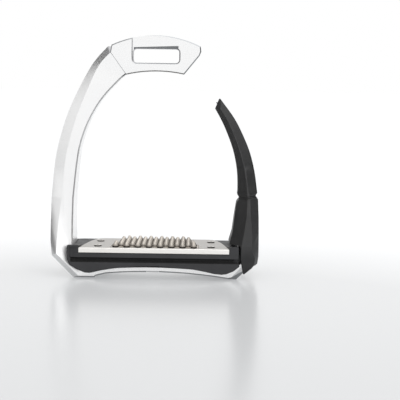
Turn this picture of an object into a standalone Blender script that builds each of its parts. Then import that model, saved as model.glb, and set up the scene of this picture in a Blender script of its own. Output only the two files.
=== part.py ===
"""Open-sided safety stirrup iron: a C-shaped aluminium frame, a studded tread and a sprung release arm.

Every size below is in millimetres, and MM turns it into Blender's metres. +Z is up, the front faces -Y, the
release arm is on the +X side, and the origin is on the ground under the middle of the stirrup.
"""

import math

import bmesh
import bpy
from mathutils import Matrix, Vector

MM = 0.001
GAP = 0.3  # space left between two fixed pieces that touch in the real stirrup
FIT = 0.15  # radial space of a shaft in its bore
ROUND = 24  # sides of a small round piece

# Frame
BASE_HALF = 22.0  # half depth of the frame under the foot
HEAD_HALF = 7.2  # half depth of the head that carries the strap slot
EDGE = 1.0  # small chamfer on the frame's inner edges
UNDERCUT = 4.0  # how far the outer chamfer reaches back from the front face
HEAD_CHAMFER = 0.8
SLOT = (-18.0, 16.5, 159.4, 169.8)  # strap slot: left, right, bottom, top
SLOT_CORNER = 2.6

# Hinge of the release arm, its axis running along Y
PIVOT = (69.4, 14.0)
KNUCKLE = 4.6
PIN = 2.0
BUSH = 3.1
CHEEK_IN = 22.3  # inner face of the arm's two cheeks
SPRING_HALF = 9.4  # half width of the gap that holds the return spring
SPRING_MEAN = 3.1
SPRING_WIRE = 0.45
SPRING_TURNS = 7
SPRING_LEG = 2.9

# Tread
BODY_HALF = 27.5
BODY_TOP = 25.3  # front rim of the body's raised ends
END_TOP = 22.9  # the ends behind that rim
FOOT_SWEEP = 10.6  # radius that the tip of the arm's foot sweeps, with clearance
PLATE_BOTTOM = 19.7
PLATE_TOP = 23.4
WINDOW_MIDDLE = 0.5  # x of the middle of the plate's opening for the grip insert
WINDOW_FRONT = 32.6  # half width of the opening along its front half
WINDOW_REAR = 28.2  # half width behind
WINDOW_HALF = 22.8
GRIP_FLOOR = 23.2
TOOTH_TOP = 26.85
# Radius and height of each ring of a tooth, from its upright foot to its blunt tip
TOOTH_RINGS = ((2.45, 0.0), (2.4, 1.1), (2.0, 1.7), (1.4, 2.8), (0.9, 3.6), (0.45, 3.95))
TOOTH_MIDDLE = 0.2  # x of the middle of each row
TOOTH_PITCH_X = 8.3
TOOTH_PITCH_Y = 9.8
SCREW_X = 42.2
SCREW_Y = (-16.0, 11.0)
BASE_SCREW_X = 22.0

FINISHES = {
    "aluminium": ((0.83, 0.84, 0.85), 0.32, 1.0),
    "plate_steel": ((0.72, 0.71, 0.69), 0.30, 1.0),
    "grip_steel": ((0.56, 0.52, 0.48), 0.35, 1.0),
    "black_polymer": ((0.035, 0.035, 0.038), 0.55, 0.0),
    "arm_polymer": ((0.028, 0.028, 0.030), 0.50, 0.0),
    "screw_steel": ((0.62, 0.62, 0.62), 0.28, 1.0),
    "brass": ((0.72, 0.55, 0.25), 0.35, 1.0),
    "spring_steel": ((0.48, 0.48, 0.50), 0.30, 1.0),
    "rubber": ((0.02, 0.02, 0.02), 0.85, 0.0),
}


# --- scene, collections and materials -------------------------------------------------------------------


def new_collection(name):
    """Make a collection and link it under the scene."""
    made = bpy.data.collections.new(name)
    bpy.context.scene.collection.children.link(made)
    return made


def clear_scene():
    """Remove the objects that the scene opened with."""
    for old in list(bpy.data.objects):
        bpy.data.objects.remove(old, do_unlink=True)


clear_scene()
PARTS = new_collection("stirrup_iron")
CUTTERS = new_collection("cutters")


def finish(obj, name):
    """Give a piece its own Principled material."""
    colour, roughness, metallic = FINISHES[name]
    material = bpy.data.materials.new(obj.name)
    material.use_nodes = True
    shader = material.node_tree.nodes["Principled BSDF"]
    shader.inputs["Base Color"].default_value = (*colour, 1.0)
    shader.inputs["Roughness"].default_value = roughness
    shader.inputs["Metallic"].default_value = metallic
    obj.data.materials.clear()
    obj.data.materials.append(material)


def place(obj, as_cutter):
    """Put an object among the parts or, hidden from renders, among the cutters."""
    (CUTTERS if as_cutter else PARTS).objects.link(obj)
    if as_cutter:
        obj.hide_render = True
        obj.display_type = "WIRE"
    return obj


def from_bmesh(name, shape, as_cutter=False):
    """Turn a bmesh into an object with its faces pointing out."""
    bmesh.ops.recalc_face_normals(shape, faces=shape.faces)
    mesh = bpy.data.meshes.new(name)
    shape.to_mesh(mesh)
    shape.free()
    return place(bpy.data.objects.new(name, mesh), as_cutter)


# --- shapes ---------------------------------------------------------------------------------------------


def loft(name, sections, as_cutter=False):
    """Skin a row of closed sections, each a list of (x, y, z), and cap both ends."""
    shape = bmesh.new()
    rings = [[shape.verts.new(Vector(p) * MM) for p in section] for section in sections]
    count = len(rings[0])
    for near, far in zip(rings, rings[1:]):
        for i in range(count):
            j = (i + 1) % count
            shape.faces.new((near[i], near[j], far[j], far[i]))
    shape.faces.new(rings[0])
    shape.faces.new(rings[-1])
    return from_bmesh(name, shape, as_cutter)


def slab(name, outline, low, high, axis="Y", holes=(), chamfer=0.0, as_cutter=False):
    """Extrude a flat outline, with holes, from low to high along an axis, as a filled 2D curve."""
    curve = bpy.data.curves.new(name, "CURVE")
    curve.dimensions = "2D"
    curve.fill_mode = "BOTH"
    curve.extrude = (high - low) / 2 * MM - chamfer * MM
    curve.bevel_depth = chamfer * MM
    curve.bevel_resolution = 0
    curve.offset = -chamfer * MM
    for loop in (outline, *holes):
        spline = curve.splines.new("POLY")
        spline.points.add(len(loop) - 1)
        for point, (u, v) in zip(spline.points, loop):
            point.co = (u * MM, v * MM, 0.0, 1.0)
        spline.use_cyclic_u = True
    middle = (low + high) / 2 * MM
    if axis == "X":  # the outline's u runs along Y and its v along Z
        matrix = Matrix.Translation((middle, 0.0, 0.0)) @ Matrix(((0, 0, 1), (1, 0, 0), (0, 1, 0))).to_4x4()
    elif axis == "Y":  # u along X, v along Z
        matrix = Matrix.Translation((0.0, middle, 0.0)) @ Matrix.Rotation(math.pi / 2, 4, "X")
    else:
        matrix = Matrix.Translation((0.0, 0.0, middle))
    return curve_to_mesh(name, curve, matrix, as_cutter)


def curve_to_mesh(name, curve, matrix, as_cutter=False):
    """Swap a curve for the closed mesh that it draws."""
    guide = bpy.data.objects.new(name + "_curve", curve)
    PARTS.objects.link(guide)
    guide.matrix_world = matrix
    bpy.context.view_layer.update()
    evaluated = guide.evaluated_get(bpy.context.evaluated_depsgraph_get())
    mesh = bpy.data.meshes.new_from_object(evaluated)
    shape = bmesh.new()
    shape.from_mesh(mesh)
    bmesh.ops.remove_doubles(shape, verts=shape.verts, dist=1e-6)
    bmesh.ops.transform(shape, matrix=matrix, verts=shape.verts)
    bpy.data.objects.remove(guide, do_unlink=True)
    return from_bmesh(name, shape, as_cutter)


def rod(name, start, end, radius, end_radius=None, sides=ROUND, as_cutter=False):
    """A cylinder or a cone between two points."""
    first = Vector(start) * MM
    last = Vector(end) * MM
    along = last - first
    shape = bmesh.new()
    tip = radius if end_radius is None else end_radius
    bmesh.ops.create_cone(
        shape, cap_ends=True, segments=sides, radius1=radius * MM, radius2=tip * MM, depth=along.length
    )
    turn = Vector((0, 0, 1)).rotation_difference(along.normalized()).to_matrix().to_4x4()
    matrix = Matrix.Translation((first + last) / 2) @ turn
    bmesh.ops.transform(shape, matrix=matrix, verts=shape.verts)
    return from_bmesh(name, shape, as_cutter)


def turned(name, profile, base, axis="Z", sides=ROUND):
    """A piece turned about an axis from (radius, distance) pairs, top to bottom down its outer side."""
    mesh = bpy.data.meshes.new(name)
    points = [(radius * MM, 0.0, along * MM) for radius, along in profile]
    closed = profile[0][0] > 0.0
    edges = [(i, i + 1) for i in range(len(points) - 1)]
    if closed:
        edges.append((len(points) - 1, 0))
    mesh.from_pydata(points, edges, [])
    obj = place(bpy.data.objects.new(name, mesh), False)
    screw = obj.modifiers.new("Turn", "SCREW")
    screw.steps = sides
    screw.render_steps = sides
    screw.use_merge_vertices = True
    screw.merge_threshold = 1e-6
    obj.location = Vector(base) * MM
    if axis == "Y":
        obj.rotation_euler = (-math.pi / 2, 0.0, 0.0)
    return obj


def box(name, low, high, as_cutter=False):
    """A box between two corners."""
    shape = bmesh.new()
    bmesh.ops.create_cube(shape, size=1.0)
    size = [(b - a) * MM for a, b in zip(low, high)]
    centre = [(a + b) / 2 * MM for a, b in zip(low, high)]
    matrix = Matrix.Translation(centre) @ Matrix.Diagonal((*size, 1.0))
    bmesh.ops.transform(shape, matrix=matrix, verts=shape.verts)
    return from_bmesh(name, shape, as_cutter)


def boolean(obj, tool, operation="DIFFERENCE"):
    """Cut, join or intersect with another object, exactly."""
    modifier = obj.modifiers.new(tool.name, "BOOLEAN")
    modifier.operation = operation
    modifier.solver = "EXACT"
    modifier.object = tool
    return obj


def cut_bore(obj, label, start, end, radius, sides=ROUND):
    """Drill a round hole between two points."""
    return boolean(obj, rod(f"{obj.name}_{label}", start, end, radius, sides=sides, as_cutter=True))


def spline_value(t, a, b, c, d):
    """Catmull-Rom value between b (t = 0) and c (t = 1)."""
    square = 2 * a - 5 * b + 4 * c - d
    cube = 3 * b - a - 3 * c + d
    return 0.5 * (2 * b + (c - a) * t + square * t * t + cube * t**3)


def smooth_rows(rows, steps):
    """Catmull-Rom rows of numbers: the rows given, with steps - 1 more between each two."""
    made = []
    for k in range(len(rows) - 1):
        before = rows[max(k - 1, 0)]
        after = rows[min(k + 2, len(rows) - 1)]
        columns = list(zip(before, rows[k], rows[k + 1], after))
        made += [tuple(spline_value(s / steps, *column) for column in columns) for s in range(steps)]
    made.append(tuple(rows[-1]))
    return made


def arc_through(first, middle, last, steps):
    """Points of the circular arc through three points."""
    (ax, ay), (bx, by), (cx, cy) = first, middle, last
    d = 2 * (ax * (by - cy) + bx * (cy - ay) + cx * (ay - by))
    a2, b2, c2 = ax * ax + ay * ay, bx * bx + by * by, cx * cx + cy * cy
    ux = (a2 * (by - cy) + b2 * (cy - ay) + c2 * (ay - by)) / d
    uy = (a2 * (cx - bx) + b2 * (ax - cx) + c2 * (bx - ax)) / d
    radius = math.hypot(ax - ux, ay - uy)
    start = math.atan2(ay - uy, ax - ux)
    sweep = math.remainder(math.atan2(cy - uy, cx - ux) - start, 2 * math.pi)
    angles = [start + sweep * i / steps for i in range(steps + 1)]
    return [(ux + radius * math.cos(a), uy + radius * math.sin(a)) for a in angles]


def rounded_rectangle(left, right, bottom, top, radius, steps=4):
    """Outline of a rectangle with round corners, counter-clockwise."""
    corners = [
        (right - radius, top - radius, 0.0),
        (left + radius, top - radius, 90.0),
        (left + radius, bottom + radius, 180.0),
        (right - radius, bottom + radius, 270.0),
    ]
    outline = []
    for cx, cy, start in corners:
        for i in range(steps + 1):
            angle = math.radians(start + 90.0 * i / steps)
            outline.append((cx + radius * math.cos(angle), cy + radius * math.sin(angle)))
    return outline


# --- frame ----------------------------------------------------------------------------------------------


def frame_section(row):
    """Ten-sided section of the frame: outer face, wide front chamfer, creased front face, inner edge.

    A row holds the outer, ridge and inner points (x, z), then the half depths at the inner edge and at the
    ridge, then how far the crease lies from the ridge towards the inner edge.
    """
    ox, oz, rx, rz, ix, iz, inner_half, ridge_half, crease = row
    inner = Vector((ix, iz))
    ridge = Vector((rx, rz))
    fold = ridge.lerp(inner, crease)
    front_inner = inner + (ridge - inner).normalized() * EDGE
    front = [
        (ox, oz, ridge_half - UNDERCUT),
        (rx, rz, ridge_half),
        (fold.x, fold.y, inner_half),
        (front_inner.x, front_inner.y, inner_half),
        (ix, iz, inner_half - EDGE),
    ]
    return [(x, -half, z) for x, z, half in front] + [(x, half, z) for x, z, half in reversed(front)]


def branch_rows():
    """Sections of the curved left branch, from the head down to where the flare begins, then to the heel."""
    curved = [
        (-36.8, 171.2, -35.0, 166.3, -23.2, 150.4, 6.9, 6.9, 0.1),
        (-47.2, 159.3, -43.4, 156.5, -28.6, 145.6, 7.0, 7.0, 0.1),
        (-56.5, 142.7, -51.2, 139.4, -40.2, 132.5, 8.2, 8.2, 0.1),
        (-64.9, 124.4, -58.3, 121.4, -49.2, 117.2, 9.6, 9.6, 0.1),
        (-71.0, 105.3, -63.7, 103.1, -55.3, 100.5, 11.0, 11.0, 0.1),
        (-74.9, 86.4, -67.2, 85.3, -58.2, 84.0, 12.5, 12.5, 0.1),
        (-77.3, 59.0, -69.4, 58.8, -60.6, 58.6, 14.6, 14.6, 0.1),
    ]
    flared = [
        (-77.6, 42.0, -71.3, 42.0, -60.9, 42.0, 15.9, 17.4, 0.42),
        (-77.4, 27.0, -72.4, 27.0, -60.9, 27.0, 17.2, 20.2, 0.80),
        (-76.2, 16.1, -72.6, 18.0, -60.9, 20.0, 18.2, BASE_HALF, 0.85),
    ]
    inside_head = [(-33.6, 171.4, -33.0, 167.6, -22.0, 151.4, 6.9, 6.9, 0.1)]
    return inside_head + smooth_rows(curved, 6) + flared


def base_rows():
    """Sections of the thin base: heel, left foot, its small step, the arch, right foot and rising toe."""
    half = BASE_HALF
    left = [
        (-60.1, 0.0, -56.1, 1.5, -54.0, 6.0, half, half, 0.5),
        (-44.4, 0.0, -44.4, 1.5, -44.4, 6.0, half, half, 0.5),
        (-43.8, 1.0, -43.8, 2.4, -43.8, 6.1, half, half, 0.5),
    ]
    arch = []
    for x in range(-36, 55, 10):
        rise = 1.0 - ((x + 2.0) / 53.0) ** 2
        arch.append((x, 0.7 + 3.8 * rise, x, 2.2 + 3.8 * rise, x, 6.1 + 3.4 * rise, half, half, 0.5))
    right = [
        (55.2, 0.0, 54.6, 1.6, 54.0, 6.0, half, half, 0.5),
        (61.2, 0.0, 57.4, 2.0, 57.0, 6.9, half, half, 0.5),
        (70.9, 9.2, 67.6, 12.8, 66.4, 15.0, half, half, 0.5),
    ]
    return left + arch + right


def head_outline():
    """Outline of the head: top and lower arcs, with the right end cut short of the release arm."""
    top = arc_through((32.3, 171.9), (-2.5, 179.7), (-33.9, 172.3), 16)
    lower = arc_through((-23.3, 150.3), (-2.7, 153.1), (20.2, 151.1), 10)
    return top + [(-35.0, 166.4)] + lower + [(31.6, 165.2), (32.7, 168.2)]


def make_frame():
    """The one-piece aluminium frame: branch, base and head, with the strap slot and the hinge knuckle."""
    frame = loft("frame", [frame_section(row) for row in branch_rows() + base_rows()])
    slot = rounded_rectangle(*SLOT, SLOT_CORNER)
    outline = head_outline()
    head = slab("head", outline, -HEAD_HALF, HEAD_HALF, holes=[slot], chamfer=HEAD_CHAMFER, as_cutter=True)
    boolean(frame, head, "UNION")
    px, pz = PIVOT
    lug = BASE_HALF - 0.1
    knuckle = rod("knuckle", (px, -lug, pz), (px, lug, pz), KNUCKLE, sides=32, as_cutter=True)
    boolean(frame, knuckle, "UNION")
    for side in (-1, 1):
        wedge = [(-19.9, side * 9.0), (-18.2, side * 6.1), (17.0, side * 7.25), (17.0, side * 9.0)]
        boolean(frame, slab(f"bar_recess_{side}", wedge, 164.0, 186.0, axis="Z", as_cutter=True))
        brow = [(side * 3.9, 168.2), (side * 9.0, 174.2), (side * 9.0, 168.2)]
        inset = SLOT[0] + 0.7, SLOT[1] - 0.7
        boolean(frame, slab(f"bar_brow_{side}", brow, *inset, axis="X", as_cutter=True))
    gap = rod("spring_gap", (px, -SPRING_HALF, pz), (px, SPRING_HALF, pz), 6.0, sides=32, as_cutter=True)
    boolean(frame, gap)
    cut_bore(frame, "bush_bore", (px, -30, pz), (px, 30, pz), BUSH + FIT)
    for x in (-BASE_SCREW_X, BASE_SCREW_X):
        cut_bore(frame, f"screw_bore_{x:+.0f}", (x, 0, -5), (x, 0, 15), 1.7)
        cut_bore(frame, f"screw_seat_{x:+.0f}", (x, 0, -5), (x, 0, 5.4), 3.1)
    finish(frame, "aluminium")


# --- tread ----------------------------------------------------------------------------------------------


def body_front_outline():
    """Front view of the tread body, counter-clockwise from its lower left."""
    left = [(-64.0, 14.7), (-62.2, 10.5), (-56.7, 7.3), (-50.8, 4.9), (-47.1, 4.7)]
    arch = [(x, 5.0 + 5.4 * (1.0 - ((x + 0.5) / 46.0) ** 2)) for x in range(-39, 47, 7)]
    right = [(50.0, 4.7), (53.8, 5.2), (58.9, 7.4), (63.2, 10.9), (62.3, 15.0), (62.4, 24.7)]
    return left + arch + right + [(61.7, BODY_TOP), (-63.2, BODY_TOP), (-64.0, 24.5)]


def body_plan_outline():
    """Top view of the tread body: nearly square in front, with large round corners behind."""
    front = [(-64.2, -26.9), (-63.6, -BODY_HALF), (63.4, -BODY_HALF), (64.2, -26.9)]
    corner = 8.0
    outline = list(front)
    for cx, start in ((64.2 - corner, 0.0), (-64.2 + corner, 90.0)):
        for i in range(7):
            angle = math.radians(start + 15.0 * i)
            outline.append((cx + corner * math.cos(angle), BODY_HALF - corner + corner * math.sin(angle)))
    return outline


def plate_outline(grow=0.0, front=BODY_HALF):
    """Top view of the tread plate: a long front edge, and ends that curve in towards the back."""
    side = [(55.3, -24.0), (53.2, -9.0), (50.2, 9.0), (47.2, 20.0), (44.0, 25.6), (40.5, 27.2)]
    right = smooth_rows(side, 3)
    right = [(x + grow, y + grow * 0.5) for x, y in right]
    left = [(-x, y) for x, y in reversed(right)]
    return [(-55.4 - grow, -front), (55.4 + grow, -front)] + right + left


def make_tread_body():
    """The black moulded tread body, which straddles the frame's base and carries the plate."""
    body = slab("tread_body", body_front_outline(), -BODY_HALF, BODY_HALF)
    plan = slab("body_plan", body_plan_outline(), 0.0, 30.0, axis="Z", as_cutter=True)
    boolean(body, plan, "INTERSECT")
    cover = BASE_HALF - 0.5
    toe_cover = box("toe_cover", (59.0, -cover, 11.0), (64.4, cover, 19.0), as_cutter=True)
    boolean(body, toe_cover, "UNION")
    over = [(-29.0, BODY_TOP), (-BODY_HALF, BODY_TOP), (-6.0, END_TOP)]
    over += [(29.0, END_TOP), (29.0, 32.0), (-29.0, 32.0)]
    boolean(body, slab("end_slope", over, -80.0, 80.0, axis="X", as_cutter=True))
    channel_half = BASE_HALF + GAP
    rise = [(x, 6.6 + 3.4 * (1.0 - ((x + 2.0) / 53.0) ** 2)) for x in range(-44, 55, 7)]
    channel = [(-90.0, -5.0), (-90.0, 40.0), (-60.5, 40.0), (-60.5, 20.2), (-53.8, 6.5)] + rise
    channel += [(54.3, 6.5), (57.2, 7.5), (66.0, 16.2), (80.0, 16.2), (80.0, -5.0)]
    boolean(body, slab("frame_channel", channel[::-1], -channel_half, channel_half, as_cutter=True))
    recess = plate_outline(GAP, BODY_HALF + 5.0)
    recess = [(x, y if y < 26.0 else y + 6.0) for x, y in recess]
    boolean(body, slab("plate_recess", recess, PLATE_BOTTOM - GAP, 40.0, axis="Z", as_cutter=True))
    for side in (-1, 1):
        groove = [(28.5, 16.5), (26.2, 16.2), (25.2, 15.4), (25.4, 14.4), (28.5, 11.8)]
        groove = [(side * u, v) for u, v in groove]
        boolean(body, slab(f"groove_{side}", groove, -61.5, 70.0, axis="X", as_cutter=True))
        pocket = [(-62.2, 29.0), (-62.2, 26.2), (-59.8, 26.2), (-56.8, 27.6), (-56.8, 29.0)]
        pocket = [(x, side * y) for x, y in pocket]
        boolean(body, slab(f"end_pocket_{side}", pocket, 16.2, 24.0, axis="Z", as_cutter=True))
    px, pz = PIVOT
    for low, high in ((-26.4, -21.9), (21.9, 26.4)):
        ends = (px, low, pz), (px, high, pz)
        boolean(body, rod(f"foot_sweep_{low:+.0f}", *ends, FOOT_SWEEP, sides=40, as_cutter=True))
    for x, y in screw_places():
        cut_bore(body, f"insert_bore_{x:+.0f}_{y:+.0f}", (x, y, 10.6), (x, y, 30.0), 2.9)
    for x in (-BASE_SCREW_X, BASE_SCREW_X):
        cut_bore(body, f"base_screw_bore_{x:+.0f}", (x, 0, 0), (x, 0, 16.0), 1.8)
    boolean(body, box("bumper_seat", (57.6, -8.2, 20.0), (60.9, 8.2, 40.0), as_cutter=True))
    finish(body, "black_polymer")


def screw_places():
    """Plan positions of the four plate screws."""
    return [(x, y) for x in (-SCREW_X, SCREW_X) for y in SCREW_Y]


def window_outline(shrink=0.0):
    """Top view of the plate's opening, which narrows half way back."""
    front = WINDOW_FRONT - shrink
    rear = WINDOW_REAR - shrink
    half = WINDOW_HALF - shrink
    right = [(front, -half), (front, -7.0), (rear, 3.0), (rear, half)]
    outline = right + [(-x, y) for x, y in reversed(right)]
    return [(x + WINDOW_MIDDLE, y) for x, y in outline]


def make_tread_plate():
    """The metal tread plate, with a window for the grip insert and four screw seats."""
    plate = slab("tread_plate", plate_outline(), PLATE_BOTTOM, PLATE_TOP, axis="Z", chamfer=0.25)
    boolean(plate, slab("window", window_outline(), 15.0, 30.0, axis="Z", as_cutter=True))
    for side in (-1, 1):
        edge = WINDOW_MIDDLE + side * WINDOW_FRONT
        for y in (-WINDOW_HALF + 0.6, -11.0):
            low, high = sorted((edge - side * 0.5, edge + side * 1.8))
            corners = (low, y - 0.6, PLATE_TOP - 1.2), (high, y + 0.6, 30.0)
            boolean(plate, box(f"tick_{side:+d}_{y:+.0f}", *corners, as_cutter=True))
    for x, y in screw_places():
        cut_bore(plate, f"hole_{x:+.0f}_{y:+.0f}", (x, y, 15), (x, y, 30), 1.8)
        cut_bore(plate, f"seat_{x:+.0f}_{y:+.0f}", (x, y, 21.0), (x, y, 30), 3.2)
    finish(plate, "plate_steel")


def tooth_places():
    """Plan positions of the grip teeth: nine rows, each half a pitch aside of the one in front."""
    places = []
    for row in range(9):
        count = 7 if row % 2 else (8 if row < 4 else 6)
        y = (row - 4) * TOOTH_PITCH_Y / 2
        places += [(TOOTH_MIDDLE + (i - (count - 1) / 2) * TOOTH_PITCH_X, y) for i in range(count)]
    return places


def make_grip_insert():
    """The grip insert: a floor in the plate's window, with blunt conical teeth standing on it."""
    insert = slab("grip_insert", window_outline(GAP), PLATE_BOTTOM, GRIP_FLOOR, axis="Z")
    teeth = bmesh.new()
    foot = TOOTH_TOP - TOOTH_RINGS[-1][1]
    for x, y in tooth_places():
        rings = []
        for radius, height in TOOTH_RINGS:
            ring = []
            for i in range(10):
                angle = math.tau * i / 10
                point = (x + radius * math.cos(angle), y + radius * math.sin(angle), foot + height)
                ring.append(teeth.verts.new(Vector(point) * MM))
            rings.append(ring)
        for near, far in zip(rings, rings[1:]):
            for i in range(10):
                j = (i + 1) % 10
                teeth.faces.new((near[i], near[j], far[j], far[i]))
        teeth.faces.new(rings[0])
        teeth.faces.new(rings[-1])
    boolean(insert, from_bmesh("teeth", teeth, as_cutter=True), "UNION")
    finish(insert, "grip_steel")


def make_tread_fasteners():
    """Plate screws in their threaded inserts, and the two screws that hold the body to the base."""
    for x, y in screw_places():
        place_name = ("front" if y < 0 else "rear") + ("_left" if x < 0 else "_right")
        head = [(0.0, 1.2), (1.1, 1.2), (1.1, 2.8), (2.6, 2.8), (2.6, 0.0)]
        shank = [(1.5, 0.0), (1.5, -8.6), (0.0, -8.6)]
        finish(turned(f"plate_screw_{place_name}", head + shank, (x, y, 21.3)), "screw_steel")
        sleeve = [(1.7, 19.2), (2.7, 19.2), (2.7, 11.4), (1.7, 11.4)]
        finish(turned(f"threaded_insert_{place_name}", sleeve, (x, y, 0.0)), "brass")
    for name, x in (("left", -BASE_SCREW_X), ("right", BASE_SCREW_X)):
        profile = [(0.0, 10.0), (1.4, 10.0), (1.4, 0.0), (2.8, 0.0), (2.8, -1.6), (0.0, -1.6)]
        screw = turned(f"base_screw_{name}", profile, (x, 0.0, 5.2))
        finish(screw, "screw_steel")


def make_stop_bumper():
    """The rubber stop in the right end of the tread body, under the arm's inner flank."""
    bumper = box("stop_bumper", (57.9, -7.9, 20.3), (60.6, 7.9, BODY_TOP + 0.2))
    finish(bumper, "rubber")


# --- release arm ----------------------------------------------------------------------------------------


def arm_section(row):
    """Eight-sided section of the arm: inner edge, two front ridges and outer edge, mirrored behind.

    A row holds the height, then x and half depth at the inner edge, first ridge, second ridge and outer
    edge, then the slope of the section across the arm.
    """
    z, xi, hi, x1, h1, x2, h2, xo, ho, slope = row
    front = [(xi, hi), (x1, h1), (x2, h2), (xo, ho)]
    points = [(x, -half, z + slope * (x - PIVOT[0])) for x, half in front]
    return points + [(x, half, z + slope * (x - PIVOT[0])) for x, half in reversed(front)]


def lower_rows():
    """Sections of the lower shell: foot tip, bevel, cheeks, step under the flank, flare and notch."""
    return [
        (4.7, 66.0, 23.1, 66.2, 23.4, 66.7, 23.4, 67.0, 23.1, 0.0),
        (8.8, 65.1, 23.7, 65.7, 24.2, 71.2, 24.0, 72.2, 22.6, 0.0),
        (11.8, 64.7, 24.2, 65.2, 24.8, 74.0, 24.3, 76.7, 17.0, 0.0),
        (16.2, 63.8, 25.0, 64.3, 25.8, 74.5, 24.9, 77.6, 15.5, 0.08),
        (20.1, 63.4, 25.2, 64.2, 26.1, 72.6, 26.0, 77.6, 15.3, 0.42),
        (25.6, 63.8, 24.6, 64.5, 25.4, 72.4, 25.2, 77.6, 15.0, 0.0),
        (25.8, 55.7, 13.4, 64.5, 25.3, 72.4, 25.1, 77.6, 15.0, 0.0),
        (34.0, 57.9, 11.8, 66.2, 22.6, 72.2, 22.5, 77.6, 13.2, 0.0),
        (46.0, 59.3, 9.3, 68.0, 18.6, 71.4, 18.5, 77.5, 10.5, 0.0),
        (57.8, 60.9, 7.2, 68.7, 14.7, 70.8, 14.6, 76.9, 8.0, 0.15),
        (59.8, 62.5, 7.4, 68.8, 14.2, 70.7, 14.1, 75.4, 8.2, 0.15),
    ]


def upper_rows():
    """Sections of the upper shell, from the notch up to the slanting cut at the tip."""
    foot = [(61.4, 62.6, 7.2, 68.7, 14.0, 70.3, 13.9, 75.2, 8.0, 0.15)]
    horn = [
        (63.2, 61.3, 6.8, 68.5, 13.8, 69.8, 13.7, 76.2, 7.5, 0.1),
        (67.0, 61.6, 6.6, 68.2, 13.4, 69.0, 13.3, 75.8, 7.2, 0.0),
        (80.3, 60.9, 6.0, 66.4, 12.1, 67.0, 12.0, 73.8, 6.6, 0.0),
        (95.2, 57.8, 5.3, 62.4, 10.5, 63.0, 10.4, 69.8, 5.8, 0.0),
        (110.0, 52.2, 4.6, 56.6, 8.9, 57.2, 8.8, 63.3, 5.0, 0.0),
        (119.4, 47.6, 4.2, 52.0, 7.8, 52.6, 7.7, 58.1, 4.5, 0.0),
        (126.2, 43.7, 4.0, 47.4, 7.0, 48.0, 6.9, 53.2, 4.2, 0.0),
    ]
    tip = [(133.6, 46.6, 3.6, 46.9, 5.6, 47.2, 5.6, 47.5, 3.6, 0.0)]
    return foot + smooth_rows(horn, 3) + tip


def core_rows(grow, low, high):
    """Flat sections of the flexible core that follows the middle of the arm from low to high."""
    line = [(27.0, 69.0), (44.0, 69.6), (60.0, 69.4), (74.0, 68.2), (88.0, 65.6)]
    line += [(102.0, 61.2), (116.0, 54.6), (126.0, 48.7), (130.6, 45.7)]
    rows = [row for row in smooth_rows(line, 3) if low < row[0] < high]
    line = [(low, interpolate(line, low))] + rows + [(high, interpolate(line, high))]
    thick = 1.2 + grow
    wide = 4.2 + grow
    taper = [(z, x, wide - 1.5 * max(0.0, z - 60.0) / 70.0) for z, x in line]
    return [
        [(x - thick, -half, z), (x + thick, -half, z), (x + thick, half, z), (x - thick, half, z)]
        for z, x, half in taper
    ]


def interpolate(line, z):
    """Where a (z, x) line lies at a height, carried straight on past its ends."""
    k = 0
    while k < len(line) - 2 and line[k + 1][0] < z:
        k += 1
    (z0, x0), (z1, x1) = line[k], line[k + 1]
    return x0 + (x1 - x0) * (z - z0) / (z1 - z0)


def make_arm_lower_shell(hub):
    """The lower shell: a fork whose two cheeks straddle the frame's knuckle, with the core's socket."""
    shell = loft("arm_lower_shell", [arm_section(row) for row in lower_rows()])
    px, pz = PIVOT
    boolean(shell, box("fork_gap", (40.0, -CHEEK_IN, -5.0), (74.7, CHEEK_IN, 19.5), as_cutter=True))
    cut_bore(shell, "pin_bore", (px, -23.9, pz), (px, 40.0, pz), PIN + FIT)
    cut_bore(shell, "pin_head_seat", (px, 23.7, pz), (px, 40.0, pz), 3.2)
    boolean(shell, loft("lower_core_socket", core_rows(GAP, 26.7, 66.0), as_cutter=True))
    cut_bore(shell, "core_screw_bore", (69.0, 0.0, 36.0), (90.0, 0.0, 36.0), 1.5)
    cut_bore(shell, "core_screw_seat", (75.2, 0.0, 36.0), (90.0, 0.0, 36.0), 2.7)
    finish(shell, "arm_polymer")
    attach(shell, hub)


def make_arm_upper_shell(hub):
    """The upper shell: the curved horn that the rider's foot pushes aside."""
    shell = loft("arm_upper_shell", [arm_section(row) for row in upper_rows()])
    boolean(shell, loft("upper_core_socket", core_rows(GAP, 50.0, 140.0), as_cutter=True))
    cut_bore(shell, "core_screw_bore", (68.0, 0.0, 72.0), (90.0, 0.0, 72.0), 1.5)
    cut_bore(shell, "core_screw_seat", (73.4, 0.0, 72.0), (90.0, 0.0, 72.0), 2.7)
    finish(shell, "arm_polymer")
    attach(shell, hub)


def make_arm_core(hub):
    """The flexible core strip that joins the two shells and shows at the tip."""
    core = loft("arm_core", core_rows(0.0, 27.0, 130.9))
    collar = [(60.1, 62.8, 6.9, 68.8, 14.0, 70.6, 13.9, 75.2, 7.8, 0.15)]
    collar += [(61.1, 62.8, 6.9, 68.7, 13.9, 70.4, 13.8, 75.1, 7.8, 0.15)]
    boolean(core, loft("notch_collar", [arm_section(row) for row in collar], as_cutter=True), "UNION")
    for z in (36.0, 72.0):
        cut_bore(core, f"screw_bore_{z:.0f}", (60.0, 0.0, z), (90.0, 0.0, z), 1.35)
    finish(core, "rubber")
    attach(core, hub)


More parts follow.
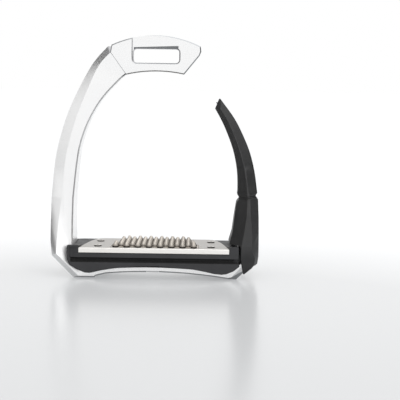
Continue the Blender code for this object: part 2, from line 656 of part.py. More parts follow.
def make_hinge(hub):
    """Hinge pin, its lock screw, the two bushes in the frame, the return spring and the core screws."""
    px, pz = PIVOT
    pin = turned(
        "hinge_pin",
        [(0.0, 17.0), (1.2, 17.0), (1.2, 23.5), (PIN, 23.5), (PIN, -23.6), (0.0, -23.6)],
        (px, 0.0, pz),
        axis="Y",
    )
    finish(pin, "screw_steel")
    attach(pin, hub)
    lock = turned(
        "hinge_pin_screw",
        [(0.0, 24.9), (2.9, 24.9), (2.9, 24.0), (0.95, 24.0), (0.95, 17.6), (0.0, 17.6)],
        (px, 0.0, pz),
        axis="Y",
    )
    finish(lock, "screw_steel")
    attach(lock, hub)
    for name, side in (("front", -1), ("rear", 1)):
        inner = SPRING_HALF - 0.9
        sleeve = [(PIN + FIT, 21.7), (BUSH, 21.7), (BUSH, SPRING_HALF - 0.1), (4.3, SPRING_HALF - 0.1)]
        sleeve += [(4.3, inner), (PIN + FIT, inner)]
        profile = sleeve if side > 0 else [(radius, -along) for radius, along in reversed(sleeve)]
        bush = turned(f"hinge_bush_{name}", profile, (px, 0.0, pz), axis="Y")
        finish(bush, "brass")
    for name, z, seat in (("lower", 36.0, 75.5), ("upper", 72.0, 73.7)):
        screw = rod(f"core_screw_{name}", (68.6, 0.0, z), (seat, 0.0, z), 1.2)
        ends = (seat - 0.1, 0.0, z), (seat + 1.3, 0.0, z)
        boolean(screw, rod(f"core_screw_{name}_head", *ends, 2.4, as_cutter=True), "UNION")
        finish(screw, "screw_steel")
        attach(screw, hub)
    make_return_spring(hub)


def make_return_spring(hub):
    """The torsion spring round the pin, with a short leg at each end."""
    px, pz = PIVOT
    half = SPRING_HALF - 1.6
    turns = SPRING_TURNS + 0.5
    steps = int(turns * 12)
    points = []
    for i in range(steps + 1):
        angle = 2 * math.pi * turns * i / steps
        y = -half + 2 * half * i / steps
        points.append((px + SPRING_MEAN * math.cos(angle), y, pz + SPRING_MEAN * math.sin(angle)))
    first = points[0]
    last = points[-1]
    points.insert(0, (first[0], first[1], first[2] - SPRING_LEG))
    points.append((last[0], last[1], last[2] - SPRING_LEG))
    curve = bpy.data.curves.new("return_spring", "CURVE")
    curve.dimensions = "3D"
    curve.bevel_depth = SPRING_WIRE * MM
    curve.bevel_resolution = 1
    curve.use_fill_caps = True
    spline = curve.splines.new("POLY")
    spline.points.add(len(points) - 1)
    for target, point in zip(spline.points, points):
        target.co = (*(Vector(point) * MM), 1.0)
    spring = curve_to_mesh("return_spring", curve, Matrix.Identity(4))
    finish(spring, "spring_steel")
    attach(spring, hub)


def attach(obj, hub):
    """Hang a piece on the hinge's empty without moving it."""
    obj.parent = hub
    obj.matrix_parent_inverse = hub.matrix_world.inverted()


def make_hub():
    """The empty on the hinge axis that the release arm turns with."""
    hub = bpy.data.objects.new("arm_hinge", None)
    hub.location = (PIVOT[0] * MM, 0.0, PIVOT[1] * MM)
    PARTS.objects.link(hub)
    bpy.context.view_layer.update()
    return hub


def shade_round():
    """Shade faces smooth, with sharp edges where they meet at more than 30 degrees."""
    for obj in PARTS.objects:
        if obj.type == "MESH":
            obj.data.shade_smooth()
            obj.data.set_sharp_from_angle(angle=math.radians(30.0))


make_frame()
make_tread_body()
make_tread_plate()
make_grip_insert()
make_tread_fasteners()
make_stop_bumper()
arm_hub = make_hub()
make_arm_lower_shell(arm_hub)
make_arm_upper_shell(arm_hub)
make_arm_core(arm_hub)
make_hinge(arm_hub)
shade_round()
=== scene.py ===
"""Looks of an open-sided safety stirrup iron: satin frame, moulded tread, studded plate and release arm.

Every length is in metres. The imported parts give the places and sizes; this script rounds their edges and
dresses each piece in its own finish.
"""

import logging
import math
from collections.abc import Callable, Iterable
from dataclasses import dataclass, field
from enum import Enum

import bmesh
import bpy
from mathutils import Matrix, Vector

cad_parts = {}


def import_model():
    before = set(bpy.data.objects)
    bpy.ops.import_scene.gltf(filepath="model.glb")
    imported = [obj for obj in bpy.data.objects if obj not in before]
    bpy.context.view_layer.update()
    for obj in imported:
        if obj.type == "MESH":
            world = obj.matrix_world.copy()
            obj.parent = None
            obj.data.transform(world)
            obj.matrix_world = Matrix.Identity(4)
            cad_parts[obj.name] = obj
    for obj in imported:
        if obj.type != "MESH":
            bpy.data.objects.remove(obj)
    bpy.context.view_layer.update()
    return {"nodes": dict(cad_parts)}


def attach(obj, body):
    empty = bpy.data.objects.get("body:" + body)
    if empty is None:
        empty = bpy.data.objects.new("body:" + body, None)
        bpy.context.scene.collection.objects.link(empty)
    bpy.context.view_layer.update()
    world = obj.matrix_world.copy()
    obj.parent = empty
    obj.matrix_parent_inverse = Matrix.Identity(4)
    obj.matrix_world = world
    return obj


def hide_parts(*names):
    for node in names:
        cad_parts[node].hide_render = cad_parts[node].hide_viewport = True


LOG = logging.getLogger("stirrup")
MM = 0.001
EDGE_ANGLE = math.radians(28.0)
FLAT_ANGLE = math.radians(0.5)
WELD_DISTANCE = 0.01 * MM

Socket = bpy.types.NodeSocket
Colour = tuple[float, float, float]
Point = tuple[float, float, float]
FaceRule = Callable[[Vector, Vector], bool]


class Slot(Enum):
    """Material slots of the record."""

    ALUMINIUM = "aluminium"
    PLATE = "plate_steel"
    GRIP = "grip_steel"
    BODY = "black_polymer"
    ARM = "arm_polymer"
    SCREW = "screw_steel"
    BRASS = "brass"
    SPRING = "spring_steel"
    RUBBER = "rubber"


class Body(Enum):
    """The two bodies that the hinge joins."""

    FRAME = "frame"
    ARM = "arm"


# --- node graphs ----------------------------------------------------------------------------------------


class Graph:
    """A material's node graph, built one named step at a time."""

    def __init__(self, name: str) -> None:
        """Start a material that holds only its shader and output."""
        self.material = bpy.data.materials.new(name)
        self.material.use_nodes = True
        self.nodes = self.material.node_tree.nodes
        self.links = self.material.node_tree.links
        self.shader = self.nodes["Principled BSDF"]
        self.place = self.nodes.new("ShaderNodeTexCoord").outputs["Object"]

    def set(self, **values: object) -> None:
        """Set the shader's own sockets; a name's underscores stand for spaces."""
        for name, value in values.items():
            self.shader.inputs[name.replace("_", " ")].default_value = value

    def stretched(self, scale: Point) -> Socket:
        """Scale the place by a different factor along each axis."""
        node = self.nodes.new("ShaderNodeMapping")
        node.inputs["Scale"].default_value = scale
        self.links.new(self.place, node.inputs["Vector"])
        return node.outputs["Vector"]

    def noise(self, scale: float, detail: float = 2.0, at: Socket | None = None) -> Socket:
        """Smooth noise.

        Args:
            scale: Waves per metre.
            detail: Octaves of finer noise.
            at: Place to read, or None for the piece's own place.

        Returns:
            The noise, from 0 to 1.
        """
        node = self.nodes.new("ShaderNodeTexNoise")
        node.inputs["Scale"].default_value = scale
        node.inputs["Detail"].default_value = detail
        self.links.new(at or self.place, node.inputs["Vector"])
        return node.outputs["Fac"]

    def pits(self, scale: float) -> Socket:
        """Distance to the nearest of many scattered points, for grained plastic and blasted metal."""
        node = self.nodes.new("ShaderNodeTexVoronoi")
        node.inputs["Scale"].default_value = scale
        self.links.new(self.place, node.inputs["Vector"])
        return node.outputs["Distance"]

    def ramp(self, value: Socket, low: float, high: float, start: float = 0.3, end: float = 0.7) -> Socket:
        """Map a value between start and end onto low to high.

        Args:
            value: The value to map.
            low: Result at or below start.
            high: Result at or above end.
            start: Where the change begins.
            end: Where it is complete.

        Returns:
            The mapped value.
        """
        node = self.nodes.new("ShaderNodeMapRange")
        node.inputs["From Min"].default_value = start
        node.inputs["From Max"].default_value = end
        node.inputs["To Min"].default_value = low
        node.inputs["To Max"].default_value = high
        self.links.new(value, node.inputs["Value"])
        return node.outputs["Result"]

    def blend(self, factor: Socket, first: Colour, second: Colour) -> Socket:
        """Mix two colours by a factor."""
        node = self.nodes.new("ShaderNodeMix")
        node.data_type = "RGBA"
        node.inputs["A"].default_value = (*first, 1.0)
        node.inputs["B"].default_value = (*second, 1.0)
        self.links.new(factor, node.inputs["Factor"])
        return node.outputs["Result"]

    def along(self, axis: str) -> Socket:
        """The place along one axis, "X", "Y" or "Z" (the height above the ground)."""
        node = self.nodes.new("ShaderNodeSeparateXYZ")
        self.links.new(self.place, node.inputs["Vector"])
        return node.outputs[axis]

    def distance(self) -> Socket:
        """The distance from the piece's own origin."""
        node = self.nodes.new("ShaderNodeVectorMath")
        node.operation = "LENGTH"
        self.links.new(self.place, node.inputs[0])
        return node.outputs["Value"]

    def larger(self, first: Socket, second: Socket) -> Socket:
        """The larger of two values."""
        node = self.nodes.new("ShaderNodeMath")
        node.operation = "MAXIMUM"
        self.links.new(first, node.inputs[0])
        self.links.new(second, node.inputs[1])
        return node.outputs["Value"]

    def feed(self, name: str, value: Socket) -> None:
        """Drive one of the shader's sockets."""
        self.links.new(value, self.shader.inputs[name])

    def bump(self, value: Socket, depth: float, strength: float = 1.0) -> None:
        """Raise the surface by a value.

        Args:
            value: Height, from 0 to 1.
            depth: Height in metres at 1.
            strength: How much of the bump shows.
        """
        node = self.nodes.new("ShaderNodeBump")
        node.inputs["Distance"].default_value = depth
        node.inputs["Strength"].default_value = strength
        self.links.new(value, node.inputs["Height"])
        self.links.new(node.outputs["Normal"], self.shader.inputs["Normal"])


@dataclass(frozen=True)
class SatinMetal:
    """Blasted and anodised metal; its darker copies carry painted shade and painted dark reflections."""

    name: str
    colour: Colour
    roughness: float
    grain: float = 2600.0
    relief: float = 0.000003
    mottle: float = 0.04
    cloud: float = 28.0
    spread: float = 0.05

    def make(self) -> bpy.types.Material:
        """Build the material."""
        graph = Graph(self.name)
        cloud = graph.noise(self.cloud, 3.0)
        darker = tuple(c * (1.0 - self.mottle) for c in self.colour)
        graph.feed("Base Color", graph.blend(graph.ramp(cloud, 0.0, 1.0), darker, self.colour))
        fine = graph.noise(self.grain, 3.0)
        graph.feed("Roughness", graph.ramp(fine, self.roughness - self.spread, self.roughness + self.spread))
        graph.set(Metallic=1.0)
        graph.bump(fine, self.relief)
        return graph.material


@dataclass(frozen=True)
class BrushedMetal:
    """Rolled sheet with fine lines along X; above top_height its darker top colour is painted shade."""

    name: str
    colour: Colour
    top: Colour
    top_height: float
    roughness: float
    lines: Point = (60.0, 2600.0, 2600.0)
    relief: float = 0.00001
    cloud: float = 40.0
    cover: float = 0.9
    mottle: float = 0.1

    def make(self) -> bpy.types.Material:
        """Build the material."""
        graph = Graph(self.name)
        streaks = graph.noise(1.0, 4.0, graph.stretched(self.lines))
        cloud = graph.noise(self.cloud, 2.0)
        # painted shade: faces above top_height take the darker top colour
        level = graph.ramp(graph.along("Z"), 0.0, self.cover, self.top_height - 0.1 * MM, self.top_height)
        mottle = graph.ramp(cloud, 0.0, self.mottle)
        graph.feed("Base Color", graph.blend(graph.larger(level, mottle), self.colour, self.top))
        graph.feed("Roughness", graph.ramp(streaks, self.roughness - 0.06, self.roughness + 0.08))
        graph.set(Metallic=1.0)
        graph.bump(streaks, self.relief)
        return graph.material


@dataclass(frozen=True)
class GripMetal:
    """Blasted steel of the grip teeth, darker towards their feet between floor and top: painted shade."""

    name: str
    shade: Colour
    tip: Colour
    floor: float
    top: float
    grain: float = 1800.0
    relief: float = 0.00003
    floor_unshaded: float = 0.9
    metallic: float = 0.85

    def make(self) -> bpy.types.Material:
        """Build the material."""
        graph = Graph(self.name)
        height = graph.along("Z")
        # painted shade: the teeth darken from their tops down to their feet, and the floor between them
        # stays unshaded
        rise = graph.ramp(height, 0.0, 1.0, self.floor + 0.1 * MM, self.top)
        unshaded_floor = graph.ramp(height, self.floor_unshaded, 0.0, self.floor + 0.02 * MM, self.floor + 0.1 * MM)
        graph.feed("Base Color", graph.blend(graph.larger(rise, unshaded_floor), self.shade, self.tip))
        grain = graph.noise(self.grain, 4.0)
        graph.feed("Roughness", graph.ramp(grain, 0.4, 0.52))
        graph.set(Metallic=self.metallic)
        graph.bump(grain, self.relief)
        return graph.material


@dataclass(frozen=True)
class GrainedPolymer:
    """Moulded black plastic with a fine spark-eroded grain."""

    name: str
    colour: Colour
    light: Colour
    roughness: float
    grain: float = 1500.0
    relief: float = 0.00008
    specular: float = 0.5
    cloud: float = 120.0

    def make(self) -> bpy.types.Material:
        """Build the material."""
        graph = Graph(self.name)
        cloud = graph.noise(self.cloud, 4.0)
        graph.feed("Base Color", graph.blend(graph.ramp(cloud, 0.0, 1.0), self.colour, self.light))
        pits = graph.pits(self.grain)
        graph.feed("Roughness", graph.ramp(cloud, self.roughness - 0.05, self.roughness + 0.07))
        graph.set(Specular_IOR_Level=self.specular)
        graph.bump(pits, self.relief, 0.8)
        return graph.material


@dataclass(frozen=True)
class TurnedMetal:
    """Small turned or drawn metal pieces with faint tool marks."""

    name: str
    colour: Colour
    roughness: float
    marks: float = 3200.0
    relief: float = 0.000008
    stain: float = 260.0
    stain_depth: float = 0.78

    def make(self) -> bpy.types.Material:
        """Build the material."""
        graph = Graph(self.name)
        marks = graph.noise(self.marks, 3.0)
        stain = graph.noise(self.stain, 3.0)
        darker = tuple(c * self.stain_depth for c in self.colour)
        graph.feed("Base Color", graph.blend(graph.ramp(stain, 0.0, 1.0), darker, self.colour))
        graph.feed("Roughness", graph.ramp(marks, self.roughness - 0.06, self.roughness + 0.1))
        graph.set(Metallic=1.0)
        graph.bump(marks, self.relief)
        return graph.material


@dataclass(frozen=True)
class Rubber:
    """Matt black rubber."""

    name: str
    colour: Colour
    dust: float = 300.0
    dust_gain: float = 1.9
    grain: float = 2200.0
    relief: float = 0.00003

    def make(self) -> bpy.types.Material:
        """Build the material."""
        graph = Graph(self.name)
        dust = graph.noise(self.dust, 4.0)
        lighter = tuple(c * self.dust_gain for c in self.colour)
        graph.feed("Base Color", graph.blend(graph.ramp(dust, 0.0, 1.0), self.colour, lighter))
        graph.feed("Roughness", graph.ramp(dust, 0.7, 0.9))
        graph.bump(graph.noise(self.grain, 3.0), self.relief)
        return graph.material


Finish = SatinMetal | BrushedMetal | GripMetal | GrainedPolymer | TurnedMetal | Rubber


@dataclass(frozen=True)
class Finishes:
    """All finishes of the stirrup. Where one changes with height, its last numbers are heights in metres."""

    frame: Finish = SatinMetal("satin_aluminium", (0.92, 0.92, 0.92), 0.32)
    # painted dark reflection on the frame's rounded edges and head chamfers, and painted shade under its
    # base
    frame_edge: Finish = SatinMetal("aluminium_painted_dark_edge", (0.34, 0.35, 0.36), 0.34, mottle=0.02)
    # painted shade in the strap slot, on the step beside its bar and in the head's left corner
    frame_shade: Finish = SatinMetal("aluminium_painted_slot_shade", (0.52, 0.52, 0.53), 0.42)
    # the plate's darker top colour is painted shade
    plate: Finish = BrushedMetal(
        "brushed_tread_plate_painted_top_shade", (0.98, 0.955, 0.92), (0.44, 0.425, 0.405), 0.0234, 0.42
    )
    # painted shade darkening the teeth from tips to feet
    grip: Finish = GripMetal("blasted_grip_steel_painted_foot_shade", (0.07, 0.058, 0.05), (0.60, 0.555, 0.50), 0.0235, 0.0256)
    # painted shade on the outer feet of the teeth and the upright sides of the plate screws
    tooth_foot: Finish = SatinMetal("shaded_tooth_foot", (0.012, 0.009, 0.008), 0.7)
    body: Finish = GrainedPolymer("tread_polymer", (0.020, 0.020, 0.022), (0.030, 0.030, 0.033), 0.50)
    # painted highlight along the moulding's rounded edges
    body_edge: Finish = GrainedPolymer("tread_painted_edge_highlight", (0.045, 0.045, 0.048), (0.06, 0.06, 0.063), 0.42)
    # painted shade in the long groove of the moulding
    groove: Finish = GrainedPolymer("shaded_groove", (0.010,) * 3, (0.014,) * 3, 0.75, specular=0.25)
    arm: Finish = GrainedPolymer("arm_polymer", (0.010, 0.010, 0.0105), (0.016, 0.016, 0.0165), 0.46)
    # painted highlight along the arm's rounded edges
    arm_painted_edge_highlight: Finish = GrainedPolymer("arm_painted_edge_highlight", (0.018, 0.018, 0.0185), (0.026, 0.026, 0.027), 0.42)
    screw: Finish = TurnedMetal("bright_screw_steel", (0.66, 0.65, 0.63), 0.26)
    # painted shade: the plate screw heads darken down their sides
    plate_screw: Finish = GripMetal(
        "plate_screw_steel_painted_side_shade", (0.03, 0.027, 0.024), (0.66, 0.64, 0.61), 0.0236, 0.02405
    )
    brass: Finish = TurnedMetal("turned_brass", (0.72, 0.55, 0.25), 0.30)
    spring: Finish = TurnedMetal("drawn_spring_steel", (0.44, 0.44, 0.46), 0.28)
    rubber: Finish = Rubber("stop_rubber", (0.018, 0.018, 0.019))


class Wardrobe:
    """Makes each finish the first time a piece asks for it."""

    def __init__(self, finishes: Finishes) -> None:
        """Keep the finishes and the materials made from them."""
        self.finishes = finishes
        self.made: dict[str, bpy.types.Material] = {}

    def get(self, name: str) -> bpy.types.Material:
        """The material of a finish, by the finish's field name."""
        if name not in self.made:
            self.made[name] = getattr(self.finishes, name).make()
        return self.made[name]


# --- mesh work ------------------------------------------------------------------------------------------


def add_piece(name: str, mesh: bpy.types.Mesh) -> bpy.types.Object:
    """Link a mesh into the scene as a piece."""
    piece = bpy.data.objects.new(name, mesh)
    bpy.context.scene.collection.objects.link(piece)
    return piece


def dress(piece: bpy.types.Object, body: Body, slot: Slot, *nodes: str) -> bpy.types.Object:
    """Tie a piece to its body and hide the CAD nodes that it stands for.

    Args:
        piece: The piece.
        body: Body that it moves with.
        slot: Record slot; not used.
        nodes: CAD nodes that it replaces.

    Returns:
        The piece.
    """
    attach(piece, body.value)
    if nodes:
        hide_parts(*nodes)
    return piece


def soften(piece: bpy.types.Object, width: float, segments: int) -> None:
    """Round every real edge.

    Args:
        piece: The piece, with two material slots: its faces and its edges.
        width: Width of the rounding.
        segments: Faces across the rounding.
    """
    bevel = piece.modifiers.new("rounded_edges", "BEVEL")
    bevel.width = width
    bevel.segments = segments
    bevel.limit_method = "ANGLE"
    bevel.angle_limit = EDGE_ANGLE
    bevel.use_clamp_overlap = True
    bevel.harden_normals = True
    bevel.material = 1 if len(piece.data.materials) > 1 else -1


def merge_flats(mesh: bpy.types.Mesh) -> None:
    """Join the triangles of each flat face, so that only real edges are left."""
    shape = bmesh.new()
    shape.from_mesh(mesh)
    bmesh.ops.remove_doubles(shape, verts=shape.verts, dist=WELD_DISTANCE)
    bmesh.ops.dissolve_limit(shape, angle_limit=FLAT_ANGLE, verts=shape.verts, edges=shape.edges)
    shape.to_mesh(mesh)
    shape.free()


def inside(place: Iterable[float], box: tuple[Point, Point]) -> bool:
    """Whether a place lies in a box, given by its low and high corners."""
    return all(low < value < high for low, value, high in zip(box[0], place, box[1]))


def paint(piece: bpy.types.Object, finish: bpy.types.Material, rule: FaceRule) -> None:
    """Give the faces that a rule picks out a finish of their own.

    Args:
        piece: The piece.
        finish: The finish for those faces.
        rule: Tells from a face's middle and normal whether it gets the finish.
    """
    piece.data.materials.append(finish)
    index = len(piece.data.materials) - 1
    for face in piece.data.polygons:
        if rule(face.center, face.normal):
            face.material_index = index


@dataclass
class RoundedPiece:
    """A CAD part with its edges rounded, its flats cleaned and a finish for its faces and edges."""

    node: str
    name: str
    body: Body
    slot: Slot
    face: str
    edge: str
    rounding: float = 0.25 * MM
    segments: int = 2

    def make(self, nodes: dict[str, bpy.types.Object], wardrobe: Wardrobe) -> bpy.types.Object:
        """Copy the CAD node's mesh, round it and put it in the node's place.

        Args:
            nodes: The frame's CAD nodes.
            wardrobe: Where the finishes come from.

        Returns:
            The new piece.
        """
        mesh = nodes[self.node].data.copy()
        mesh.name = self.name
        merge_flats(mesh)
        mesh.materials.clear()
        mesh.materials.append(wardrobe.get(self.face))
        mesh.materials.append(wardrobe.get(self.edge))
        for face in mesh.polygons:
            face.material_index = 0
        piece = add_piece(self.name, mesh)
        mesh.shade_smooth()
        mesh.set_sharp_from_angle(angle=EDGE_ANGLE)
        if self.rounding > 0.0:
            soften(piece, self.rounding, self.segments)
        dress(piece, self.body, self.slot, self.node)
        LOG.info("%s: %d faces before rounding", self.name, len(mesh.polygons))
        return piece


# --- sub-assemblies -------------------------------------------------------------------------------------


@dataclass
class FrameCasting:
    """The one-piece aluminium frame. A tilt is a share of a face's unit normal, from 0 to 1."""

    rounding: float = 0.35 * MM
    slot_box: tuple[Point, Point] = ((-0.0183, -0.008, 0.1592), (0.0168, 0.008, 0.1715))
    step_box: tuple[Point, Point] = ((-0.0196, -0.008, 0.1600), (-0.0178, 0.008, 0.1800))
    heel_box: tuple[Point, Point] = ((-0.0385, -0.008, 0.1650), (-0.0338, 0.008, 0.1700))
    head_left: float = -0.034
    head_bottom: float = 0.149
    sole_top: float = 0.0052
    chamfer_tilt: tuple[float, float] = (0.3, 0.9)
    heel_tilt: tuple[float, float] = (0.1, 0.9)
    wall_tilt: float = 0.74
    facing: float = 0.3

    def build(self, nodes: dict[str, bpy.types.Object], wardrobe: Wardrobe) -> None:
        """Make the finished frame."""
        piece = RoundedPiece(
            "frame", "frame_casting", Body.FRAME, Slot.ALUMINIUM, "frame", "frame_edge", self.rounding, 3
        ).make(nodes, wardrobe)
        # painted dark reflection on the head chamfers and painted shade under the base
        paint(piece, wardrobe.get("frame_edge"), self.is_painted_dark_chamfer_or_sole)
        # painted shade on the slot walls, the step and the head's left corner
        paint(piece, wardrobe.get("frame_shade"), self.is_shaded)

    def is_painted_dark_chamfer_or_sole(self, place: Vector, normal: Vector) -> bool:
        """Whether a face is a chamfer of the head, which gets a painted dark reflection, or lies under the
        base, which gets painted shade.
        """
        flattest, steepest = self.chamfer_tilt
        on_head = place.z > self.head_bottom and place.x > self.head_left
        on_chamfer = on_head and flattest < abs(normal.y) < steepest
        return on_chamfer or (place.z < self.sole_top and normal.z < -self.facing)

    def is_shaded(self, place: Vector, normal: Vector) -> bool:
        """Whether a face is a wall of the strap slot, the step beside its bar or the head's left corner, all
        of which get painted shade.
        """
        flattest, steepest = self.heel_tilt
        on_step = inside(place, self.step_box) and normal.x > self.facing
        on_heel = inside(place, self.heel_box) and flattest < abs(normal.y) < steepest
        on_wall = inside(place, self.slot_box) and abs(normal.y) < self.wall_tilt
        return on_step or on_heel or on_wall


@dataclass
class Tread:
    """Moulded body, plate, grip teeth and their screws."""

    body_rounding: float = 0.35 * MM
    plate_rounding: float = 0.12 * MM
    groove_box: tuple[Point, Point] = ((-0.0632, 0.0250, 0.0117), (0.0632, 0.0274, 0.0167))
    groove_end: float = 0.5
    outer_row: float = 0.0196
    foot_top: float = 0.0240
    outward_share: float = 0.2
    upright_tilt: float = 0.3

    def build(self, nodes: dict[str, bpy.types.Object], wardrobe: Wardrobe) -> None:
        """Make every piece of the tread."""
        body = RoundedPiece(
            "tread_body", "tread_moulding", Body.FRAME, Slot.BODY, "body", "body_edge", self.body_rounding
        ).make(nodes, wardrobe)
        # painted shade in the long groove
        paint(body, wardrobe.get("groove"), self.in_groove)
        RoundedPiece(
            "tread_plate", "tread_plate_sheet", Body.FRAME, Slot.PLATE, "plate", "plate", self.plate_rounding
        ).make(nodes, wardrobe)
        grip = RoundedPiece(
            "grip_insert", "grip_teeth", Body.FRAME, Slot.GRIP, "grip", "grip", 0.0
        ).make(nodes, wardrobe)
        # painted shade on the outer feet of the first and last rows of teeth
        paint(grip, wardrobe.get("tooth_foot"), self.is_outer_foot)
        for place in ("front_left", "front_right", "rear_left", "rear_right"):
            names = f"plate_screw_{place}", f"plate_screw_cap_{place}"
            screw = RoundedPiece(
                *names, Body.FRAME, Slot.SCREW, "plate_screw", "plate_screw", 0.1 * MM
            ).make(nodes, wardrobe)
            # painted shade on the upright sides of the screw heads
            paint(screw, wardrobe.get("tooth_foot"), self.is_upright)
            names = f"threaded_insert_{place}", f"brass_insert_{place}"
            RoundedPiece(*names, Body.FRAME, Slot.BRASS, "brass", "brass", 0.1 * MM).make(nodes, wardrobe)
        for side in ("left", "right"):
            names = f"base_screw_{side}", f"base_screw_bright_{side}"
            RoundedPiece(*names, Body.FRAME, Slot.SCREW, "screw", "screw", 0.1 * MM).make(nodes, wardrobe)
        RoundedPiece(
            "stop_bumper", "stop_rubber_strip", Body.FRAME, Slot.RUBBER, "rubber", "rubber", 0.4 * MM, 3
        ).make(nodes, wardrobe)

    def in_groove(self, place: Vector, normal: Vector) -> bool:
        """Whether a face of the moulding lies in the long groove of its front or back, which gets painted
        shade.
        """
        folded = (place.x, abs(place.y), place.z)
        return inside(folded, self.groove_box) and abs(normal.x) < self.groove_end

    def is_upright(self, place: Vector, normal: Vector) -> bool:
        """Whether a face stands upright; the upright sides of the plate screws get painted shade."""
        return abs(normal.z) < self.upright_tilt

    def is_outer_foot(self, place: Vector, normal: Vector) -> bool:
        """Whether a face of the grip is the outer side of a foot in the first or last row of teeth, which
        gets painted shade.
        """
        outward = place.y * normal.y > self.outward_share * abs(place.y)
        return abs(place.y) > self.outer_row and place.z < self.foot_top and outward


@dataclass
class ReleaseArm:
    """Forked foot, horn and the core strip that joins them."""

    rounding: float = 0.35 * MM
    collar_low: float = 0.0600
    collar_high: float = 0.0615
    collar_tilt: float = 0.5

    def build(self, nodes: dict[str, bpy.types.Object], wardrobe: Wardrobe) -> None:
        """Make the arm's pieces."""
        for part in ("lower", "upper"):
            names = f"arm_{part}_shell", f"arm_{part}_moulding"
            RoundedPiece(*names, Body.ARM, Slot.ARM, "arm", "arm_painted_edge_highlight", self.rounding).make(nodes, wardrobe)
            names = f"core_screw_{part}", f"core_screw_bright_{part}"
            RoundedPiece(*names, Body.ARM, Slot.SCREW, "screw", "screw", 0.1 * MM).make(nodes, wardrobe)
        core = RoundedPiece(
            "arm_core", "arm_core_strip", Body.ARM, Slot.RUBBER, "rubber", "rubber", 0.1 * MM
        ).make(nodes, wardrobe)
        paint(core, wardrobe.get("arm"), self.on_collar)

    def on_collar(self, place: Vector, normal: Vector) -> bool:
        """Whether a face of the core lies on the collar that fills the notch between the shells."""
        return self.collar_low < place.z < self.collar_high and abs(normal.z) < self.collar_tilt


@dataclass
class Hinge:
    """Pin, lock screw, bushes and return spring."""

    def build(self, nodes: dict[str, bpy.types.Object], wardrobe: Wardrobe) -> None:
        """Make the hinge's pieces."""
        for side in ("front", "rear"):
            names = f"hinge_bush_{side}", f"brass_bush_{side}"
            RoundedPiece(*names, Body.FRAME, Slot.BRASS, "brass", "brass", 0.1 * MM).make(nodes, wardrobe)
        RoundedPiece(
            "hinge_pin", "hinge_pin_ground", Body.ARM, Slot.SCREW, "screw", "screw", 0.1 * MM
        ).make(nodes, wardrobe)
        RoundedPiece(
            "hinge_pin_screw", "hinge_pin_cap_screw", Body.ARM, Slot.SCREW, "screw", "screw", 0.15 * MM
        ).make(nodes, wardrobe)
        RoundedPiece(
            "return_spring", "return_spring_wire", Body.ARM, Slot.SPRING, "spring", "spring", 0.0
        ).make(nodes, wardrobe)


# --- studio ---------------------------------------------------------------------------------------------


@dataclass(frozen=True)
class Softbox:
    """A square soft light, aimed at a target."""

    name: str
    place: Point
    target: Point
    size: float
    power: float

    def hang(self) -> None:
        """Make the light."""
        lamp = bpy.data.lights.new(self.name, "AREA")
        lamp.shape = "SQUARE"
        lamp.size = self.size
        lamp.energy = self.power
        holder = bpy.data.objects.new(self.name, lamp)
        holder.location = self.place
        aim = Vector(self.target) - Vector(self.place)
        holder.rotation_euler = aim.to_track_quat("-Z", "Y").to_euler()
        bpy.context.scene.collection.objects.link(holder)


@dataclass(frozen=True)
class Flag:
    """A square dark card that faces a target: hidden from the camera, but mirrored in glossy faces."""

    name: str
    place: Point
    target: Point
    half: float
    cloth: tuple[Colour, Colour] = ((0.03, 0.03, 0.03), (0.04, 0.04, 0.04))
    weave: float = 90.0

    def stand(self) -> None:
        """Make the card."""
        shape = bmesh.new()
        for u, v in ((-1, -1), (1, -1), (1, 1), (-1, 1)):
            shape.verts.new((u * self.half, v * self.half, 0.0))
        shape.faces.new(shape.verts[:])
        turn = (Vector(self.target) - Vector(self.place)).to_track_quat("Z", "Y").to_matrix().to_4x4()
        bmesh.ops.transform(shape, matrix=Matrix.Translation(self.place) @ turn, verts=shape.verts)
        mesh = bpy.data.meshes.new(self.name)
        shape.to_mesh(mesh)
        shape.free()
        card = add_piece(self.name, mesh)
        card.visible_camera = False
        graph = Graph(f"{self.name}_cloth")
        graph.feed("Base Color", graph.blend(graph.noise(self.weave), *self.cloth))
        graph.set(Roughness=0.9)
        mesh.materials.append(graph.material)


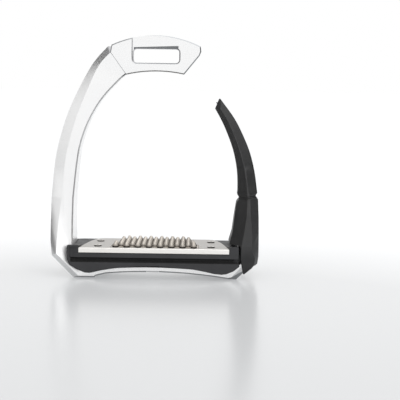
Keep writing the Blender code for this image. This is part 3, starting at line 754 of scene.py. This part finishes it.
@dataclass
class Studio:
    """Pale glossy floor with a painted glow, white surroundings, soft lights, dark flags and the camera."""

    camera_place: Point = (0.0334, -0.860, 0.1417)
    lens: float = 102.9
    sensor: float = 36.0
    tilt: float = 5.615
    roll: float = 0.86
    floor_half: float = 40.0
    grey_centre: Point = (0.0, -0.2, 0.0)
    grey_radius: float = 0.23
    white_radius: float = 0.70
    grey: Colour = (0.30, 0.305, 0.31)
    white: Colour = (0.40, 0.40, 0.40)
    glow: tuple[float, float] = (0.31, 0.62)
    gloss: tuple[float, float] = (0.25, 0.0)
    lights: list[Softbox] = field(
        default_factory=lambda: [
            Softbox("top_softbox", (0.25, -0.1, 1.2), (0.0, 0.0, 0.0), 1.0, 4.0),
            Softbox("front_right_softbox", (0.9, -1.1, 0.7), (0.0, 0.0, 0.08), 0.8, 5.0),
        ]
    )
    flags: list[Flag] = field(
        default_factory=lambda: [
            Flag("left_flag", (-0.55, 0.07, 0.0), (0.0, 0.0, 0.08), 0.31),
            Flag("upper_left_flag", (-0.58, -0.08, 0.70), (-0.03, 0.0, 0.16), 0.22),
            Flag("left_rear_flag", (-0.80, 0.60, 0.25), (0.0, 0.0, 0.08), 0.35),
            Flag("right_flag", (0.62, -0.05, 0.16), (0.0, 0.0, 0.08), 0.20),
            Flag("right_rear_flag", (0.64, 0.52, 0.15), (0.0, 0.0, 0.08), 0.26),
        ]
    )

    def floor(self) -> None:
        """Make the floor, grey and glossy near the stirrup and fading to matt white all round it, glowing
        all over as painted light that is weaker near the stirrup.
        """
        shape = bmesh.new()
        bmesh.ops.create_grid(shape, x_segments=1, y_segments=1, size=self.floor_half)
        mesh = bpy.data.meshes.new("studio_floor")
        shape.to_mesh(mesh)
        shape.free()
        floor = add_piece("studio_floor", mesh)
        floor.location = self.grey_centre
        graph = Graph("pale_acrylic_painted_glow")
        far = graph.ramp(graph.distance(), 0.0, 1.0, self.grey_radius, self.white_radius)
        graph.feed("Base Color", graph.blend(far, self.grey, self.white))
        # painted light: the floor glows, less near the stirrup than far from it
        graph.feed("Emission Strength", graph.ramp(far, *self.glow, 0.0, 1.0))
        graph.feed("Specular IOR Level", graph.ramp(far, *self.gloss, 0.0, 1.0))
        graph.set(Roughness=0.21, Emission_Color=(0.98, 0.99, 1.0, 1.0))
        mesh.materials.append(graph.material)

    def light(self) -> None:
        """Hang the softboxes, stand the flags and set the white surroundings."""
        for softbox in self.lights:
            softbox.hang()
        for flag in self.flags:
            flag.stand()
        world = bpy.data.worlds.new("studio_surroundings")
        world.use_nodes = True
        background = world.node_tree.nodes["Background"]
        background.inputs["Color"].default_value = (1.0, 1.0, 1.0, 1.0)
        background.inputs["Strength"].default_value = 1.0
        bpy.context.scene.world = world
        bpy.context.scene.view_settings.view_transform = "Standard"

    def camera(self) -> None:
        """Aim the camera along +Y, tipped down by tilt and turned by roll, both in degrees."""
        data = bpy.data.cameras.new("view")
        data.lens = self.lens
        data.sensor_width = self.sensor
        data.clip_start = 0.01
        holder = bpy.data.objects.new("view", data)
        holder.location = self.camera_place
        tip = Matrix.Rotation(math.radians(90.0 - self.tilt), 4, "X")
        roll = Matrix.Rotation(math.radians(self.roll), 4, "Z")
        holder.rotation_euler = (tip @ roll).to_euler()
        bpy.context.scene.collection.objects.link(holder)
        bpy.context.scene.camera = holder


def main() -> None:
    """Load the frame, build each sub-assembly, then the studio."""
    logging.basicConfig(level=logging.INFO, format="%(name)s: %(message)s")
    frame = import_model()
    nodes = frame["nodes"]
    wardrobe = Wardrobe(Finishes())
    FrameCasting().build(nodes, wardrobe)
    Tread().build(nodes, wardrobe)
    ReleaseArm().build(nodes, wardrobe)
    Hinge().build(nodes, wardrobe)
    studio = Studio()
    studio.floor()
    studio.light()
    studio.camera()


if __name__ == "__main__":
    main()
